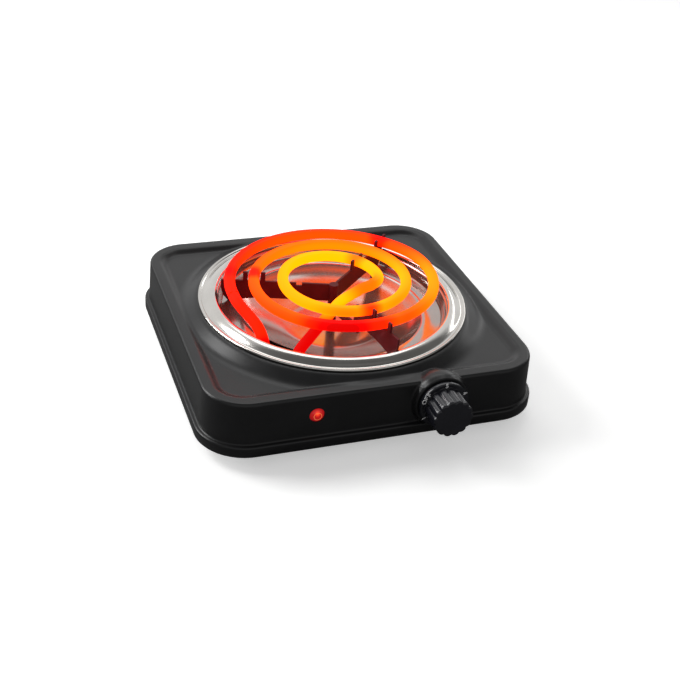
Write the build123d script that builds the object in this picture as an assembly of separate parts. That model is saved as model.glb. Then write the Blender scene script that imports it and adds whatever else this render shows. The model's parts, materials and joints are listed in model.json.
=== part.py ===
from build123d import *
import os
from math import cos, pi, radians, sin

os.makedirs("parts", exist_ok=True)

# All sizes are in millimetres. The pieces are drawn about the middle of the body, with z = 0 at the
# bottom of the feet, and save() moves them so that the origin is the bottom centre of the whole box.

# Pressed steel body
body_w = 230.0            # across the skirt, left to right
body_d = 220.5            # across the skirt, front to back
body_h = 36.8             # skirt bottom to rim
foot_drop = 10.0          # skirt bottom above the table
sheet = 1.0               # body sheet
slope_share = 1.2         # how much wider the sheet is, measured flat, on a slope
skirt_h = 7.5
skirt_r = 32.0            # corner radius of the skirt
ledge = 3.0               # the wall stands this far inside the skirt
wall_lean = 1.2           # how far the wall leans in over its height
edge_r = 1.2              # rounding of the rim's outer edge
rim_side = 6.0            # flat rim at the left and right
rim_end = 7.5             # flat rim at the front and back
recess_slope = 6.5        # width of the slope from rim to recess
recess_r = 19.0           # corner radius at the top of the slope
recess_depth = 3.0
cone_foot_r = 104.0       # raised round seat for the burner
cone_top_r = 93.6
cone_h = 6.3
pan_hole_r = 84.0

# Bottom and feet
plate_t = 1.0
plate_up = 1.5            # bottom plate above the skirt's edge
plate_gap = 0.5
foot_in_x = 31.0          # foot centres in from the skirt
foot_in_y = 32.25
foot_r = 9.0
post_r = 4.0
screw_r = 1.55
screw_head_r = 3.5
screw_head_h = 2.2
screw_fit = 0.05
screw_bite = 10.0
post_spare = 2.0          # the post's hole is deeper than its screw
screw_room = 0.3          # clearance of a screw's hole, radial
foot_taper = 1.2
foot_round = 1.0
foot_recess = 2.5         # screw head above the table
head_room = 0.4
head_slot = 0.8           # width and depth of a screwdriver slot
slot_deep = 1.0
vent_rows = (-45.0, 45.0)
vent_step = 14.0
vent_len = 34.0
vent_w = 4.0
through = 6.0             # how far a cut reaches past what it cuts

# Burner
ring_r = 92.4             # outer radius of the trim ring
ring_in_r = 79.2
ring_rise = 4.3           # crest of the ring above its seat
trim_t = 0.8              # ring and bowl sheet
bowl_deep = 22.1          # bowl floor below the ring's seat
shoulder_deep = 7.1       # bowl shoulder below the seat
shoulder_out = 75.5
shoulder_in = 64.0
tube_r = 3.75
tube_flat = 0.55          # depth of the flat pressed on top of the tube
coil_up = 12.9            # centre of the tube above the seat
coil_start = (-71.4, -4.4)
coil_heading = 92.0       # direction of the first arc, degrees
# radius and turn of each arc of the coil, wound clockwise from the outer end
coil_arcs = [(73.4, 153.0), (50.4, 26.7), (67.7, 108.6), (56.8, 184.5), (47.6, 147.1), (40.9, 133.7),
             (33.5, 112.0), (32.0, 40.0), (13.0, 65.0)]
hub_x = 1.5
hub_y = 3.0
hub_r = 3.2
arm_t = 1.5
arm_up = 3.3              # underside of an arm above the bowl's shoulder
arm_reach = 77.0          # from the bowl's centre
arm_notch = (22.0, 4.0, 2.2)   # notch in the left arm: from the hub, its width and depth
tongue_low = 10.5         # the front arm dips under the inner leg, this far above the bowl floor
tongue_top = 16.3
tongue_reach = 34.0
ear_w = 3.2
ear_drop = 0.3            # top of an ear below the flat of the tube
ear_root = 3.0            # an ear starts this far below the arm's top
tube_gap = 0.4            # between a tube and its ears
slant_gap = (0.3, 0.3, 0.5)    # more room where a turn crosses its arm at a slant, inner turn first
leg_angle = -133.0        # the legs leave the bowl towards the front left corner
leg_off = (11.0, -5.0)    # sideways place of the outer and the inner leg
leg_deep = 13.1           # centre of the legs below the seat
leg_end = 97.0            # from the body's centre, as the next two
leg_turn = 74.0
leg_run = 9.0             # straight run where a leg leaves the coil
leg_step = 0.02           # the round legs are this much finer than the coil
outer_bend = (-61.5, -33.5, 9.0)    # where the outer leg bends down: x, y and depth below the coil
outer_radii = [18.0, 24.0, 12.0]
inner_bend = (-1.0, -17.5, 5.5)
inner_dip = (60.0, 6.5)   # the inner leg's next bend: from the body's centre, and above the leg's end
inner_radii = [14.0, 30.0, 20.0, 14.0]
slot_from = 55.0
slot_half = 17.0
slot_mid = 3.0
slot_low = 2.6            # top of the legs' slot below the seat

# Coil bracket and terminals
bracket_at = 90.0
bracket_half = 19.0
bracket_t = 1.2
bracket_up = 9.5          # bracket above the legs' centre
bracket_foot = 12.0
bush_wall = 0.45          # wall of a bush's neck
bush_rim = 1.4            # its flange stands out this far
bush_rim_t = 3.0
bush_len = 9.0
tab_w = 6.3
tab_t = 0.8
tab_len = 9.0
tab_eye_in = 2.5
tab_eye_r = 0.9

# Centre bolt stack
shield_gap = 4.4          # heat shield below the bowl
shield_r = 62.0
shield_t = 0.8
shield_lip = 3.0
bolt_r = 2.0
bolt_head_r = 3.6
bolt_head_h = 2.6
bolt_bite = 10.0          # thread in the hub post
washer_r = 5.5
washer_t = 0.8
bore_room = 0.2           # clearance round the bolt, radial
spacer_r = 4.5

# Knob and switch
knob_x = 37.1
knob_z = 22.9             # from the skirt bottom
boss_r = 17.6             # front face of the pressed boss
boss_foot_r = 18.9
boss_h = 4.4              # boss face in front of the wall
# how far the hump over the rim has drawn in, and how far behind the wall
boss_fade = [(0.5, 5.6), (2.9, 10.6), (6.4, 14.6)]
knob_gap = 1.0
skirt_disc_r = 16.4
skirt_disc_t = 3.2
grip_r = 13.4
grip_h = 15.3
grip_round = 0.8
flutes = 14
flute_r = 1.5
flute_out = 0.55          # flute centres outside the grip
nut_room = 2.2            # recess in the knob over the nut
spindle_r = 3.0
spindle_flat = 1.0
spindle_rear = 17.0       # spindle behind the boss
insert_wall = 0.8
insert_len = 9.2          # insert, from the nut's recess
insert_floor = 0.4
run_gap = 0.05            # running clearance, radial
bush_out_wall = 1.7
bush_proud = 2.4
bush_flange_r = 7.2
bush_flange_t = 1.6
hole_gap = 0.15
nut_r = 6.2
nut_t = 1.5
cam_r = 6.2
cam_drop = 1.0
cam_t = 3.0
cam_sweep = 300.0         # travel of the knob, degrees
cam_dwell = 20.0
cam_step = 5
cam_behind = 6.0          # cam behind the boss
plunger_r = 2.0
plunger_gap = 0.15
clip_t = 0.8
clip_wide = 1.4
frame_t = 1.2
frame_half = 11.0
frame_len = 22.0
frame_low = 4.0           # these heights are above the skirt's edge
cheek_top = 24.0
guide_z = 13.0
shelf_in = 5.0
shelf_t = 1.0
tab_floor = 8.0
leaf_z = 10.3
leaf_t = 0.5
leaf_half = 3.0
contact_r = 1.6

# Indicator
lamp_x = -44.4
lamp_z = 22.9
lens_r = 6.6
lens_flange = 1.3
lens_dome_r = 4.9
lens_dome_h = 3.2
barrel_r = 4.8
barrel_len = 13.0
barrel_wall = 1.2
neon_r = 2.6
neon_len = 10.5
lamp_plug_t = 4.5
lamp_lead_r = 0.6
lip_gap = 0.35            # a flange off the leaning wall

# Cord inlet
inlet_x = -60.0
inlet_z = 19.0
inlet_bore_r = 3.7
inlet_r = 7.0
inlet_neck_r = 5.5
inlet_in = 6.0
inlet_lip = 2.6
inlet_clip_t = 1.1
block_in = 24.25          # terminal block in from the skirt
block_half = 16.0
block_d = 12.0
block_h = 12.0
block_pitch = 10.0
block_screw_r = 1.85
lead_r = 1.3
lead_up = 5.0             # leads above the bottom plate
wire_room = 0.9
touch_gap = 0.05
earth_in_x = 25.0
earth_in_y = 44.25
earth_r = 2.0
earth_nut_r = 3.6
earth_nut_h = 4.0

base = foot_drop
rim_z = base + body_h
floor_z = rim_z - recess_depth
seat_z = floor_z + cone_h
bowl_z = seat_z - bowl_deep
shoulder_z = seat_z - shoulder_deep
coil_z = seat_z + coil_up
ear_top = coil_z + tube_r - tube_flat - ear_drop
leg_z = seat_z - leg_deep
slot_top_z = seat_z - slot_low
shield_z = bowl_z - trim_t - shield_gap - shield_t
neck_r = tube_r + bush_wall
foot_x = body_w / 2 - foot_in_x
foot_y = body_d / 2 - foot_in_y
plate_z = base + plate_up
plate_top = plate_z + plate_t
wall_w = body_w - 2 * ledge
wall_d = body_d - 2 * ledge
wall_r = skirt_r - ledge
wall_mid_y = -(wall_d / 2 - wall_lean * (knob_z - skirt_h) / (body_h - skirt_h))
boss_y = wall_mid_y - boss_h
inner_y = boss_y + sheet
bush_out_r = spindle_r + run_gap + bush_out_wall
insert_r = spindle_r + insert_wall
knob_back = boss_y - knob_gap
insert_end = knob_back - nut_room - insert_len
cam_y = inner_y + cam_behind
lens_back = wall_mid_y - lip_gap
inlet_wall_y = wall_d / 2 - wall_lean * (inlet_z - skirt_h) / (body_h - skirt_h)
block_y = body_d / 2 - block_in
lead_z = plate_top + lead_up
tab_lead_z = base + tab_floor + tab_t + lead_r + touch_gap / 2
earth_x = earth_in_x - body_w / 2
earth_y = body_d / 2 - earth_in_y
knob_front = -boss_y + knob_gap + skirt_disc_t + grip_h
body_y = (knob_front - body_d / 2 - inlet_lip + ledge) / 2
names = []


def save(name, piece):
    # Moves a piece from the body's centre to the part's frame and writes it.
    names.append(name)
    export_step(Pos(0, body_y, 0) * piece, f"parts/{name}.step")


def rounded(w, d, r, z):
    return Pos(0, 0, z) * RectangleRounded(w, d, r)


def block(w, d, r, z0, z1):
    return extrude(rounded(w, d, r, z0), z1 - z0)


def tapered(w0, d0, r0, w1, d1, r1, z0, z1):
    return loft([rounded(w0, d0, r0, z0), rounded(w1, d1, r1, z1)])


def disc(x, y, z0, z1, r):
    return Pos(x, y, (z0 + z1) / 2) * Cylinder(r, z1 - z0)


def tube(x, y, z0, z1, r, bore):
    return disc(x, y, z0, z1, r) - disc(x, y, z0 - 1, z1 + 1, bore)


def rod_y(x, z, y0, y1, r):
    # A round rod along Y between two places.
    return Pos(x, (y0 + y1) / 2, z) * Rot(90, 0, 0) * Cylinder(r, abs(y1 - y0))


def box(x0, x1, y0, y1, z0, z1):
    return Pos((x0 + x1) / 2, (y0 + y1) / 2, (z0 + z1) / 2) * Box(x1 - x0, y1 - y0, z1 - z0)


def turned_z(points):
    # Closed (r, z) outline turned about the Z axis.
    outline = Polyline(*[(r, 0, z) for r, z in points], close=True)
    return revolve(make_face(outline), Axis.Z)


def turned_y(points, x, z):
    # Closed (r, y) outline turned about an axis along Y.
    outline = Polyline(*[(r, y) for r, y in points], close=True)
    return Pos(x, 0, z) * revolve(make_face(outline), Axis.Y)


def along(s, t, z, angle=leg_angle):
    # A place s outwards and t sideways on the line at an angle in plan.
    a = radians(angle)
    return (s * cos(a) - t * -sin(a), s * sin(a) + t * -cos(a), z)


# ------------------------------------------------------------------ body
def boss(inset):
    y0 = boss_y + inset
    foot = boss_foot_r - inset
    outline = [(0, y0), (boss_r - inset, y0), (foot, wall_mid_y)]
    outline += [(foot - drawn_in, wall_mid_y + depth) for drawn_in, depth in boss_fade[:-1]]
    drawn_in, depth = boss_fade[-1]
    back = wall_mid_y + depth - inset
    return turned_y(outline + [(foot - drawn_in, back), (0, back)], knob_x, base + knob_z)


def body_shell():
    outer = block(body_w, body_d, skirt_r, base, base + skirt_h)
    outer += tapered(wall_w, wall_d, wall_r, wall_w - 2 * wall_lean, wall_d - 2 * wall_lean,
                     wall_r - wall_lean, base + skirt_h, rim_z)
    top_w = wall_w - 2 * wall_lean - 2 * rim_side
    top_d = wall_d - 2 * wall_lean - 2 * rim_end
    low_w = top_w - 2 * recess_slope
    low_d = top_d - 2 * recess_slope
    low_r = recess_r - recess_slope
    outer = fillet(outer.edges().group_by(Axis.Z)[-1], edge_r)
    outer -= tapered(low_w, low_d, low_r, top_w, top_d, recess_r, floor_z, rim_z + 0.001)
    outer += Pos(0, 0, floor_z + cone_h / 2) * Cone(cone_foot_r, cone_top_r, cone_h)
    outer += boss(0)
    grow = 2 * sheet * slope_share
    cavity = block(body_w - 2 * sheet, body_d - 2 * sheet, skirt_r - sheet, base - 1, base + skirt_h - sheet)
    cavity += tapered(wall_w - 2 * sheet, wall_d - 2 * sheet, wall_r - sheet,
                      wall_w - 2 * wall_lean - 2 * sheet, wall_d - 2 * wall_lean - 2 * sheet,
                      wall_r - wall_lean - sheet, base + skirt_h - sheet, rim_z - sheet)
    cavity -= tapered(low_w + grow, low_d + grow, low_r + grow / 2, top_w + grow, top_d + grow,
                      recess_r + grow / 2, floor_z - sheet, rim_z)
    cavity += Pos(0, 0, floor_z - sheet + cone_h / 2) * Cone(cone_foot_r - grow / 2, cone_top_r - grow / 2,
                                                            cone_h)
    cavity += boss(sheet)
    shell = outer - cavity - disc(0, 0, base, seat_z + through, pan_hole_r)
    shell -= rod_y(knob_x, base + knob_z, boss_y - through, boss_y + through, bush_out_r + hole_gap)
    shell -= rod_y(lamp_x, base + lamp_z, wall_mid_y - through, wall_mid_y + through, barrel_r + hole_gap)
    rear = wall_d / 2
    return shell - rod_y(inlet_x, base + inlet_z, rear - through, rear + through, inlet_neck_r + hole_gap)


def bottom_plate():
    plate = block(body_w - 2 * sheet - 2 * plate_gap, body_d - 2 * sheet - 2 * plate_gap,
                  skirt_r - sheet - plate_gap, plate_z, plate_top)
    for x, y in foot_places():
        plate -= disc(x, y, plate_z - 1, plate_top + 1, screw_r + screw_room)
    plate -= disc(hub_x, hub_y, plate_z - 1, plate_top + 1, bolt_r + screw_room)
    # rows of cooling slots
    for x in vent_rows:
        for step in (-2, -1, 0, 1, 2):
            vent = extrude(SlotOverall(vent_len, vent_w), through, both=True)
            plate -= Pos(x, step * vent_step, plate_z) * vent
    return plate


def foot_places():
    return [(x * foot_x, y * foot_y) for x in (-1, 1) for y in (-1, 1)]


def foot(x, y):
    solid = Pos(x, y, plate_z / 2) * Cone(foot_r - foot_taper, foot_r, plate_z)
    solid = fillet(solid.edges().group_by(Axis.Z)[0], foot_round)
    solid -= disc(x, y, -1, plate_z + 1, screw_r + screw_room)
    return solid - disc(x, y, -1, foot_recess + screw_head_h, screw_head_r + head_room)


def slot_cut(x, y, r, z0, z1):
    # The slot for a screwdriver across a head of radius r.
    return box(x - r - 1, x + r + 1, y - head_slot / 2, y + head_slot / 2, z0, z1)


def foot_screws():
    head_top = foot_recess + screw_head_h
    solids = []
    for x, y in foot_places():
        screw = disc(x, y, foot_recess, head_top, screw_head_r)
        screw += disc(x, y, head_top, plate_top + screw_bite, screw_r)
        screw -= slot_cut(x, y, screw_head_r, foot_recess - 0.1, foot_recess + slot_deep)
        solids.append(screw)
    return Compound(solids)


def corner_posts():
    solids = []
    for x, y in foot_places():
        post = disc(x, y, plate_top, floor_z - sheet, post_r)
        hole_end = plate_top + screw_bite + post_spare
        solids.append(post - disc(x, y, plate_top - 1, hole_end, screw_r + screw_fit))
    return Compound(solids)


# ---------------------------------------------------------------- burner
def trim_ring():
    z = seat_z
    crest = z + ring_rise
    profile = [(ring_r - 0.3, z), (ring_r, z + 0.6), (ring_r - 0.3, z + 1.6), (ring_r - 1.4, z + 1.9),
               (ring_r - 2.8, z + 1.3), (ring_r - 8.0, crest - 0.5), (ring_r - 10.0, crest),
               (ring_in_r + 1.4, crest - 0.1), (ring_in_r, crest - 1.4), (ring_in_r, z + trim_t + 0.1),
               (ring_in_r + trim_t, z + trim_t + 0.1), (ring_in_r + trim_t, crest - 1.7),
               (ring_in_r + 2.0, crest - 0.9), (ring_r - 10.2, crest - 0.8), (ring_r - 8.4, crest - 1.3),
               (ring_r - 3.0, z + 0.4), (ring_r - 2.4, z)]
    return turned_z(profile)


def drip_bowl():
    z = seat_z
    t = trim_t
    floor = bowl_z
    sh = shoulder_z
    w = ring_in_r
    profile = [(pan_hole_r + 4, z), (pan_hole_r + 4, z + t), (w, z + t), (w - 1.2, z - 0.6),
               (w - 2.6, sh + 1.5), (shoulder_out, sh), (shoulder_in, sh), (60.0, sh - 3.0),
               (48.0, sh - 8.6), (34.0, floor + 1.2), (26.0, floor), (0, floor), (0, floor - t),
               (26.2, floor - t), (34.4, floor + 0.4), (48.4, sh - 9.4), (60.4, sh - 3.8),
               (shoulder_in + 0.3, sh - t), (shoulder_out + 0.5, sh - t), (w - 1.8, sh + 1.1),
               (w - 0.4, z - 0.9), (w + 0.4, z)]
    bowl = turned_z(profile)
    middle = (slot_from + pan_hole_r) / 2
    x, y, _ = along(middle, slot_mid, 0)
    cut = Box(pan_hole_r - slot_from, 2 * slot_half, slot_top_z - floor)
    bowl -= Pos(x, y, (floor + slot_top_z) / 2) * Rot(0, 0, leg_angle) * cut
    return bowl - disc(hub_x, hub_y, floor - 2, floor + 1, bolt_r + bore_room)


def coil_path():
    # Plan of the coil: tangent arcs, and the place and heading where each leg leaves it.
    x, y = coil_start
    heading = coil_heading
    edges = []
    for r, turn in coil_arcs:
        a = radians(heading)
        arc = JernArc(start=(x, y), tangent=(cos(a), sin(a)), radius=r, arc_size=-turn)
        edges.append(arc)
        end = arc @ 1
        x, y = end.X, end.Y
        heading -= turn
    return edges, (x, y), heading


def tube_section():
    # The round tube with the flat pressed along its top.
    y = tube_r - tube_flat
    x = (tube_r ** 2 - y ** 2) ** 0.5
    outline = ThreePointArc((x, y), (0, -tube_r), (-x, y)) + Line((-x, y), (x, y))
    return make_face(outline)


def heating_coil():
    z = coil_z
    edges, end, heading = coil_path()
    coil = None
    for edge in edges:
        start = edge @ 0
        ahead = edge % 0
        plane = Plane(origin=(start.X, start.Y, 0), x_dir=(-ahead.Y, ahead.X, 0),
                      z_dir=(ahead.X, ahead.Y, 0))
        part = sweep(plane * tube_section(), path=edge)
        coil = part if coil is None else coil + part
    coil = Pos(0, 0, z) * coil
    z -= tube_flat     # a round leg's top is level with the flat
    a = radians(coil_heading)
    x, y = coil_start
    bend_x, bend_y, down = outer_bend
    outer = [(x, y, z), (x - leg_run * cos(a), y - leg_run * sin(a), z), (bend_x, bend_y, coil_z - down),
             along(leg_turn, leg_off[0], leg_z), along(leg_end, leg_off[0], leg_z)]
    a = radians(heading)
    x, y = end
    bend_x, bend_y, down = inner_bend
    out, up = inner_dip
    inner = [(x, y, z), (x + leg_run * cos(a), y + leg_run * sin(a), z), (bend_x, bend_y, coil_z - down),
             along(out, leg_off[1], leg_z + up), along(leg_turn, leg_off[1], leg_z),
             along(leg_end, leg_off[1], leg_z)]
    for points, radii in ((outer, outer_radii), (inner, inner_radii)):
        line = FilletPolyline(*points, radius=radii)
        start = line @ 0
        leg = sweep(Plane(origin=start, z_dir=line % 0) * Circle(tube_r - leg_step), path=line)
        coil += leg
    return coil


def crossings(angle, reach):
    # Where the coil's arcs cross an arm's line, as distances from the hub.
    a = radians(angle)
    found = []
    edges, _, _ = coil_path()
    for edge in edges:
        last = None
        for i in range(181):
            p = edge @ (i / 180)
            dx, dy = p.X - hub_x, p.Y - hub_y
            side = -dx * sin(a) + dy * cos(a)
            out = dx * cos(a) + dy * sin(a)
            if last is not None and out > 0 and last[0] * side < 0 and out < reach:
                share = last[0] / (last[0] - side)
                found.append(last[1] + share * (out - last[1]))
            last = (side, out)
    return sorted(found)


def support_arm(angle, ears, tongue, notch=None):
    top = coil_z - tube_r
    low = shoulder_z + arm_up
    sh = shoulder_z
    start = hub_r - 0.4
    a = radians(angle)
    off = hub_x * cos(a) + hub_y * sin(a)     # the hub stands this far along the arm from the middle
    reach = arm_reach - off
    rest = (shoulder_in + shoulder_out) / 2 - off
    leg = [(rest - 18, low), (rest - 10, low - 1.0), (rest - 3, sh + 1.0), (rest - 2, sh), (rest + 2, sh),
           (reach - 1.5, sh + 4.5), (reach, top - 6.0), (reach, top)]
    points = [(start, low)] + leg + [(start, top)]
    if tongue:
        inner = tongue_reach - 6.0
        points = [(start, bowl_z + tongue_low), (tongue_reach, bowl_z + tongue_low), (tongue_reach + 6, low)]
        points += leg + [(inner + 2, top), (inner, bowl_z + tongue_top), (start, bowl_z + tongue_top)]
    outline = Polyline(*[(r, 0, z) for r, z in points], close=True)
    arm = extrude(make_face(outline), arm_t / 2, both=True)
    places = crossings(angle, arm_reach + 4)
    for turn, side in ears:
        near = tube_r + tube_gap + slant_gap[turn]
        r0 = places[turn] + near if side > 0 else places[turn] - near - ear_w
        arm += box(r0, r0 + ear_w, -arm_t / 2, arm_t / 2, top - ear_root, ear_top)
        if r0 + ear_w > reach:
            # this ear stands past the arm's end, on a bar over the ring
            arm += box(reach - ear_w, r0 + ear_w, -arm_t / 2, arm_t / 2, top - ear_root, top)
    if notch:
        start_r, width, deep = notch
        arm -= box(start_r, start_r + width, -arm_t, arm_t, top - deep, top + 1)
    arm = Pos(hub_x, hub_y, 0) * Rot(0, 0, angle) * arm
    return arm - disc(hub_x, hub_y, base, coil_z, hub_r)


def hub_post():
    floor = bowl_z
    post = disc(hub_x, hub_y, floor, coil_z - tube_r, hub_r)
    return post - disc(hub_x, hub_y, floor - 1, floor + bolt_bite + post_spare, bolt_r + screw_fit)


def coil_bracket():
    x, y, _ = along(bracket_at, slot_mid, 0)
    high = min(leg_z + bracket_up, floor_z - sheet - tube_gap)
    plate = Pos(0, 0, (high + plate_top) / 2) * Box(bracket_t, 2 * bracket_half, high - plate_top)
    foot_plate = Pos(-bracket_foot / 2, 0, plate_top + bracket_t / 2)
    foot_plate *= Box(bracket_foot, 2 * bracket_half, bracket_t)
    bracket = Pos(x, y, 0) * Rot(0, 0, leg_angle) * (plate + foot_plate)
    for off in leg_off:
        bracket -= leg_rod(off, bracket_at - bracket_t, bracket_at + bracket_t, neck_r + hole_gap)
    return bracket


def leg_rod(off, s0, s1, r):
    x, y, z = along((s0 + s1) / 2, off, leg_z)
    return Pos(x, y, z) * Rot(0, 0, leg_angle) * Rot(0, 90, 0) * Cylinder(r, s1 - s0)


def leg_bush(off):
    back = bracket_at - bracket_t / 2
    bush = leg_rod(off, back - bush_rim_t, back, neck_r + bush_rim)
    bush += leg_rod(off, back, back + bush_len - bush_rim_t, neck_r)
    return bush - leg_rod(off, back - bush_len, back + bush_len, tube_r)


def leg_tab(off):
    x, y, z = along(leg_end + tab_len / 2, off, leg_z)
    blade = Pos(x, y, z) * Rot(0, 0, leg_angle) * Box(tab_len, tab_w, tab_t)
    x, y, z = along(leg_end + tab_len - tab_eye_in, off, leg_z)
    return blade - disc(x, y, z - tab_t, z + tab_t, tab_eye_r)


def heat_shield():
    z = shield_z
    t = shield_t
    lip = z + shield_lip
    shield = turned_z([(0, z), (shield_r - 4.0, z), (shield_r, lip), (shield_r, lip + t),
                       (shield_r - 0.6, lip + t), (shield_r - 4.4, z + t), (0, z + t)])
    return shield - disc(hub_x, hub_y, z - 1, lip, bolt_r + screw_room)


def upper_spacer():
    return tube(hub_x, hub_y, shield_z + shield_t, bowl_z - trim_t, spacer_r,
                bolt_r + bore_room)


def lower_spacer():
    return tube(hub_x, hub_y, plate_top, shield_z, spacer_r, bolt_r + bore_room)


def centre_bolt():
    seat = plate_z - washer_t
    low = seat - bolt_head_h
    head = disc(hub_x, hub_y, low, seat, bolt_head_r)
    head -= slot_cut(hub_x, hub_y, bolt_head_r, low - 0.1, low + slot_deep)
    return head + disc(hub_x, hub_y, seat, bowl_z + bolt_bite, bolt_r)


def bolt_washer():
    return tube(hub_x, hub_y, plate_z - washer_t, plate_z, washer_r, bolt_r + bore_room)


# ------------------------------------------------------- knob and switch
def knob():
    x, z = knob_x, base + knob_z
    face = knob_back - skirt_disc_t
    front = face - grip_h
    solid = turned_y([(0, knob_back), (skirt_disc_r, knob_back), (skirt_disc_r - 0.5, face), (grip_r, face),
                      (grip_r, front + grip_round), (grip_r - grip_round, front), (4.0, front + 0.5),
                      (0, front + 0.6)], x, z)
    out = grip_r + flute_out
    for i in range(flutes):
        a = 2 * pi * i / flutes
        solid -= rod_y(x + out * cos(a), z + out * sin(a), face, front - 1, flute_r)
    solid -= rod_y(x, z, knob_back + 1, knob_back - nut_room, nut_r + 1.8)
    return solid - rod_y(x, z, knob_back + 1, insert_end, insert_r)


def knob_insert():
    # Brass insert with a D-shaped bore, moulded into the knob.
    insert = rod_y(knob_x, base + knob_z, knob_back - nut_room, insert_end, insert_r)
    return insert - spindle_core(knob_back, insert_end + insert_floor)


def spindle_core(y0, y1):
    # The spindle's flatted end between two places.
    x, z = knob_x, base + knob_z
    core = rod_y(x, z, y0, y1, spindle_r)
    flat_z = z + spindle_r - spindle_flat
    return core - box(x - spindle_r, x + spindle_r, min(y0, y1) - 1, max(y0, y1) + 1, flat_z, z + spindle_r)


def spindle():
    d_start = knob_back - 2.0
    tip = spindle_core(d_start, insert_end + insert_floor)
    return tip + rod_y(knob_x, base + knob_z, d_start, inner_y + spindle_rear, spindle_r)


def spindle_bush():
    x, z = knob_x, base + knob_z
    flange = inner_y + frame_t
    bush = rod_y(x, z, boss_y - bush_proud, flange, bush_out_r)
    bush += rod_y(x, z, flange, flange + bush_flange_t, bush_flange_r)
    return bush - rod_y(x, z, boss_y - through, inner_y + through, spindle_r + run_gap)


def bush_nut():
    x, z = knob_x, base + knob_z
    nut = Pos(x, boss_y, z) * Rot(90, 0, 0) * extrude(RegularPolygon(nut_r, 6), nut_t)
    return nut - rod_y(x, z, boss_y + 1, boss_y - through, bush_out_r)


def switch_frame():
    # A disc under the bush's flange, a cheek, a floor for the switch and a guide for the plunger.
    x, z = knob_x, base + knob_z
    left = x - frame_half
    back = inner_y + frame_len
    floor = base + frame_low
    frame = rod_y(x, z, inner_y, inner_y + frame_t, boss_r - sheet - 1.1)
    frame += box(left, left + shelf_t, inner_y + 0.5, back, base + 12.5, base + cheek_top)
    frame += box(left, left + shelf_t, inner_y + shelf_in, back, floor, base + cheek_top)
    frame += box(left, x + frame_half, inner_y + shelf_in, back, floor, floor + shelf_t)
    frame += box(left + shelf_t / 2, x + 5, inner_y + 3.0, inner_y + 9.5, base + guide_z,
                 base + guide_z + shelf_t)
    frame -= rod_y(x, z, inner_y - 1, inner_y + 3, bush_out_r + hole_gap)
    return frame - disc(x, cam_y, base + guide_z - 1, base + guide_z + 2, plunger_r + run_gap)


def cam_radius(turn):
    # The radius under the plunger after the knob has turned this many degrees towards OFF.
    if turn <= cam_sweep:
        return cam_r - cam_drop * turn / cam_sweep
    if turn <= cam_sweep + cam_dwell:
        return cam_r - cam_drop
    return cam_r - cam_drop * (360 - turn) / (360 - cam_sweep - cam_dwell)


def switch_cam():
    x, z = knob_x, base + knob_z
    points = []
    for turn in range(0, 360, cam_step):
        a = radians(-90 - turn)
        points.append((x + cam_radius(turn) * cos(a), cam_y - cam_t / 2, z + cam_radius(turn) * sin(a)))
    cam = extrude(make_face(Polyline(*points, close=True)), cam_t, dir=(0, 1, 0))
    return cam - rod_y(x, z, cam_y - cam_t, cam_y + cam_t, spindle_r)


def spindle_clip():
    y = inner_y + frame_t + bush_flange_t
    ring = rod_y(knob_x, base + knob_z, y + 0.1, y + 0.1 + clip_t, spindle_r + clip_wide)
    return ring - rod_y(knob_x, base + knob_z, y - 1, y + 2, spindle_r)


def plunger():
    top = base + knob_z - cam_r - plunger_gap
    return disc(knob_x, cam_y, base + leaf_z + leaf_t + plunger_gap, top, plunger_r)


def switch_base():
    floor = base + frame_low + shelf_t
    return box(knob_x - 9.5, knob_x + 10, inner_y + 5.2, inner_y + 21, floor, base + tab_floor)


def fixed_leaf():
    return box(knob_x - leaf_half, knob_x + leaf_half, inner_y + 4, inner_y + 11, base + tab_floor,
               base + tab_floor + leaf_t)


def moving_leaf():
    return box(knob_x - leaf_half, knob_x + leaf_half, inner_y + 4, inner_y + 20, base + leaf_z,
               base + leaf_z + leaf_t)


def leaf_spacer():
    return box(knob_x - 4, knob_x + 4, inner_y + 15.5, inner_y + 20, base + tab_floor, base + leaf_z)


def contacts():
    low = base + tab_floor + leaf_t
    half = (base + leaf_z - low) / 2
    return Compound([disc(knob_x, cam_y, low + i * half, low + (i + 1) * half, contact_r) for i in (0, 1)])


def switch_tabs():
    low, high = base + tab_floor, base + tab_floor + tab_t
    left = box(knob_x - 9, knob_x - 4.2, inner_y + 11, inner_y + 27, low, high)
    left += box(knob_x - 9, knob_x - leaf_half, inner_y + 8, inner_y + 11, low, high)
    right = box(knob_x + 4.2, knob_x + 9, inner_y + 12, inner_y + 27, low, high)
    return Compound([left, right])


# ------------------------------------------------------------- indicator
def indicator_lens():
    front = lens_back - lens_flange
    tip = front - lens_dome_h
    inside = lens_back + barrel_len
    solid = turned_y([(0, inside), (0, tip), (2.6, tip + 0.5), (4.2, tip + 1.6), (lens_dome_r, front),
                      (lens_r - 0.5, front), (lens_r, front + 0.5), (lens_r, lens_back),
                      (barrel_r, lens_back), (barrel_r, inside)], lamp_x, base + lamp_z)
    return solid - rod_y(lamp_x, base + lamp_z, inside + 1, front, barrel_r - barrel_wall)


def lens_clip():
    y = wall_mid_y + sheet + tube_gap
    ring = rod_y(lamp_x, base + lamp_z, y, y + clip_t, barrel_r + 3.0)
    return ring - rod_y(lamp_x, base + lamp_z, y - 1, y + 2, barrel_r)


def neon_lamp():
    y = lens_back - lens_flange
    return rod_y(lamp_x, base + lamp_z, y + 0.3, y + neon_len, neon_r)


def lamp_plug():
    y = lens_back - lens_flange + neon_len
    return rod_y(lamp_x, base + lamp_z, y, y + lamp_plug_t, barrel_r - barrel_wall)


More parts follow.
